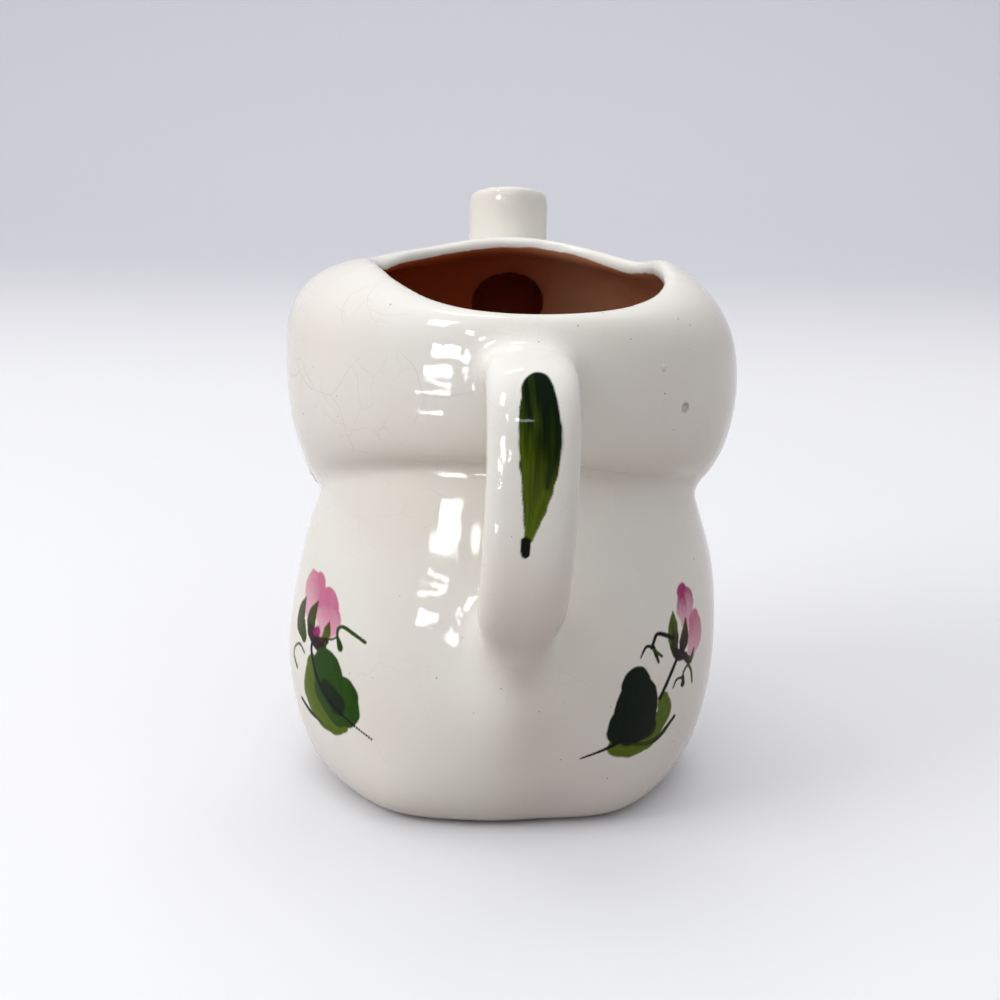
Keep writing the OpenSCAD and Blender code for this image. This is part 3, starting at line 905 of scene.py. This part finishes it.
def cracks(scale, width, seed):
    """Thin wandering crack lines: the borders of cells on bent coordinates."""
    bend = add_node(tree, "TexNoise", {"Vector": place, "Scale": scale * 0.9, "Detail": 1.5})
    shift = add_node(tree, "VectorMath", {0: bend.outputs["Color"], 1: (0.5, 0.5, 0.5)}, operation="SUBTRACT")
    small = add_node(tree, "VectorMath", {0: shift.outputs["Vector"], "Scale": 1.1 / scale},
                     operation="SCALE")
    moved = add_node(tree, "VectorMath", {0: place, 1: small.outputs["Vector"]}, operation="ADD")
    moved = add_node(tree, "VectorMath", {0: moved.outputs["Vector"], 1: (seed, seed * 0.7, seed * 1.3)},
                     operation="ADD")
    cells = add_node(tree, "TexVoronoi", {"Vector": moved.outputs["Vector"], "Scale": scale},
                     feature="DISTANCE_TO_EDGE")
    return remap(cells.outputs["Distance"], 0, width * scale, 1, 0)


# %% Glaze colour
glaze_white, glaze_warm, glaze_pink = (0.88, 0.865, 0.81, 1), (0.86, 0.825, 0.75, 1), (0.83, 0.79, 0.76, 1)
craze_brown, speck_brown = (0.34, 0.25, 0.18, 1), (0.10, 0.075, 0.06, 1)
# Dark brown for the painted contact shadow along the bottom edge.
contact_shadow_brown = (0.17, 0.09, 0.06, 1)
craze_middle = (-0.034, -0.022, 0.098)
# Lining colours: a darker copy for painted shade on the left inner wall, a lighter one for painted light on
# the right; near-black for painted shade in the trunk's bore.
lining_painted_light, lining_painted_shade = (0.46, 0.22, 0.12, 1), (0.36, 0.07, 0.02, 1)
bore_painted_shade = (0.12, 0.015, 0.006, 1)
pit_spot, pit_edge = (0.032, -0.0324, 0.0895), (0.0003, 0.001)
knob_spot, knob_edge = (0.027, -0.036, 0.0981), (0.0001, 0.0007)

body = mix(remap(noise(28), 0.38, 0.7), glaze_white, glaze_warm)
body = mix(remap(noise(17, 2.0), 0.5, 0.8), body, glaze_pink)
craze_lines = maths("MAXIMUM", cracks(58, 0.00017, 0.3), maths("MULTIPLY", cracks(105, 0.00014, 1.7), 0.6))
from_shoulder = add_node(tree, "VectorMath", {0: place, 1: craze_middle}, operation="DISTANCE")
craze_zone = remap(from_shoulder.outputs["Value"], 0.015, 0.055, 1, 0.3)
craze_zone = maths("MULTIPLY", craze_zone, remap(noise(85, 2.0), 0.42, 0.62))
craze_share = maths("MULTIPLY", maths("MULTIPLY", craze_lines, craze_zone), 0.2)
body = mix(craze_share, body, craze_brown)
specks = add_node(tree, "TexVoronoi", {"Vector": place, "Scale": 400.0})
speck_size = remap(specks.outputs["Distance"], 0.05, 0.095, 1, 0)
speck_draw = add_node(tree, "SeparateColor", {"Color": specks.outputs["Color"]})
speck_some = remap(speck_draw.outputs["Red"], 0.86, 0.88)
speck_share = maths("MULTIPLY", maths("MULTIPLY", speck_size, speck_some), 0.55)
body = mix(speck_share, body, speck_brown)


def from_spot(spot):
    """Distance from a spot on the back of the head, measured mostly across it."""
    away = add_node(tree, "VectorMath", {0: place, 1: spot}, operation="SUBTRACT")
    across = add_node(tree, "VectorMath", {0: away.outputs["Vector"], 1: (1, 0.3, 0.8)}, operation="MULTIPLY")
    return add_node(tree, "VectorMath", {0: across.outputs["Vector"]}, operation="LENGTH").outputs["Value"]


pit_depth = remap(from_spot(pit_spot), *pit_edge, 1, 0)
knob_height = remap(from_spot(knob_spot), *knob_edge, 1, 0)
body = mix(maths("MULTIPLY", pit_depth, 0.35), body, speck_brown)

# %% Painted contact shadow, paint and lining
axes = add_node(tree, "SeparateXYZ", {"Vector": place})
# A thin dark brown band along the bottom edge, just above the table, is painted contact shadow.
contact_shadow_height = maths("ADD", axes.outputs["Z"], remap(noise(90), 0.3, 0.7, -0.0004, 0.0004))
body = mix(remap(contact_shadow_height, 0.0004, 0.0014, 0.85, 0), body, contact_shadow_brown)
painted = add_node(tree, "Attribute", attribute_name="paint")
body = mix(painted.outputs["Alpha"], body, painted.outputs["Color"])
lined = add_node(tree, "Attribute", attribute_name="lining")
# The lining is painted darker on the left and lighter towards the right, as painted shade and light on the
# inner walls.
painted_light_share = remap(axes.outputs["X"], -0.012, 0.02)
lining = mix(maths("MULTIPLY", painted_light_share, remap(noise(40), 0.25, 0.6)), lining_painted_shade, lining_painted_light)
# The trunk's bore is painted near-black: painted shade in the hole.
lining = mix(remap(lined.outputs["Fac"], 1.0, 1.4), lining, bore_painted_shade)
lining_edge = maths("ADD", lined.outputs["Fac"], remap(noise(70), 0.3, 0.7, -0.06, 0.06))
body = mix(remap(lining_edge, 0.46, 0.62), body, lining)
tree.links.new(body, shader.inputs["Base Color"])

# %% Glaze gloss and surface
glaze_gloss, paint_gloss = 0.18, 0.07
tree.links.new(remap(noise(60), 0.3, 0.7, 0.03, 0.07), shader.inputs["Roughness"])
shader.inputs["IOR"].default_value = 1.52
gloss = remap(painted.outputs["Alpha"], 0.2, 1, glaze_gloss, paint_gloss)
tree.links.new(gloss, shader.inputs["Specular IOR Level"])
waves = add_node(tree, "Bump", {"Height": noise(95, 2.0), "Strength": 0.12, "Distance": 0.001})
peel = add_node(tree, "Bump", {"Height": noise(700, 2.0), "Strength": 0.03, "Distance": 0.0003,
                               "Normal": waves.outputs["Normal"]})
pits = add_node(tree, "Bump", {"Height": speck_share, "Strength": 0.3, "Distance": 0.0003,
                               "Normal": peel.outputs["Normal"]}, invert=True)
dent = add_node(tree, "Bump", {"Height": pit_depth, "Strength": 1.0, "Distance": 0.0008,
                               "Normal": pits.outputs["Normal"]}, invert=True)
knob = add_node(tree, "Bump", {"Height": knob_height, "Strength": 1.0, "Distance": 0.0003,
                               "Normal": dent.outputs["Normal"]})
tree.links.new(knob.outputs["Normal"], shader.inputs["Normal"])

# %% Finish every piece
for part, piece in pieces.items():
    piece.data.materials.clear()
    piece.data.materials.append(glaze)
    normals = vector_attribute(piece, "skin_normal")
    normals /= np.maximum(np.linalg.norm(normals, axis=1), 1e-6)[:, None]
    piece.data.normals_split_custom_set_from_vertices(normals.tolist())
    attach(piece, "root")
    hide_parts(part)
    triangles = sum(len(face.vertices) - 2 for face in piece.data.polygons)
    print(piece.name, "triangles:", triangles)
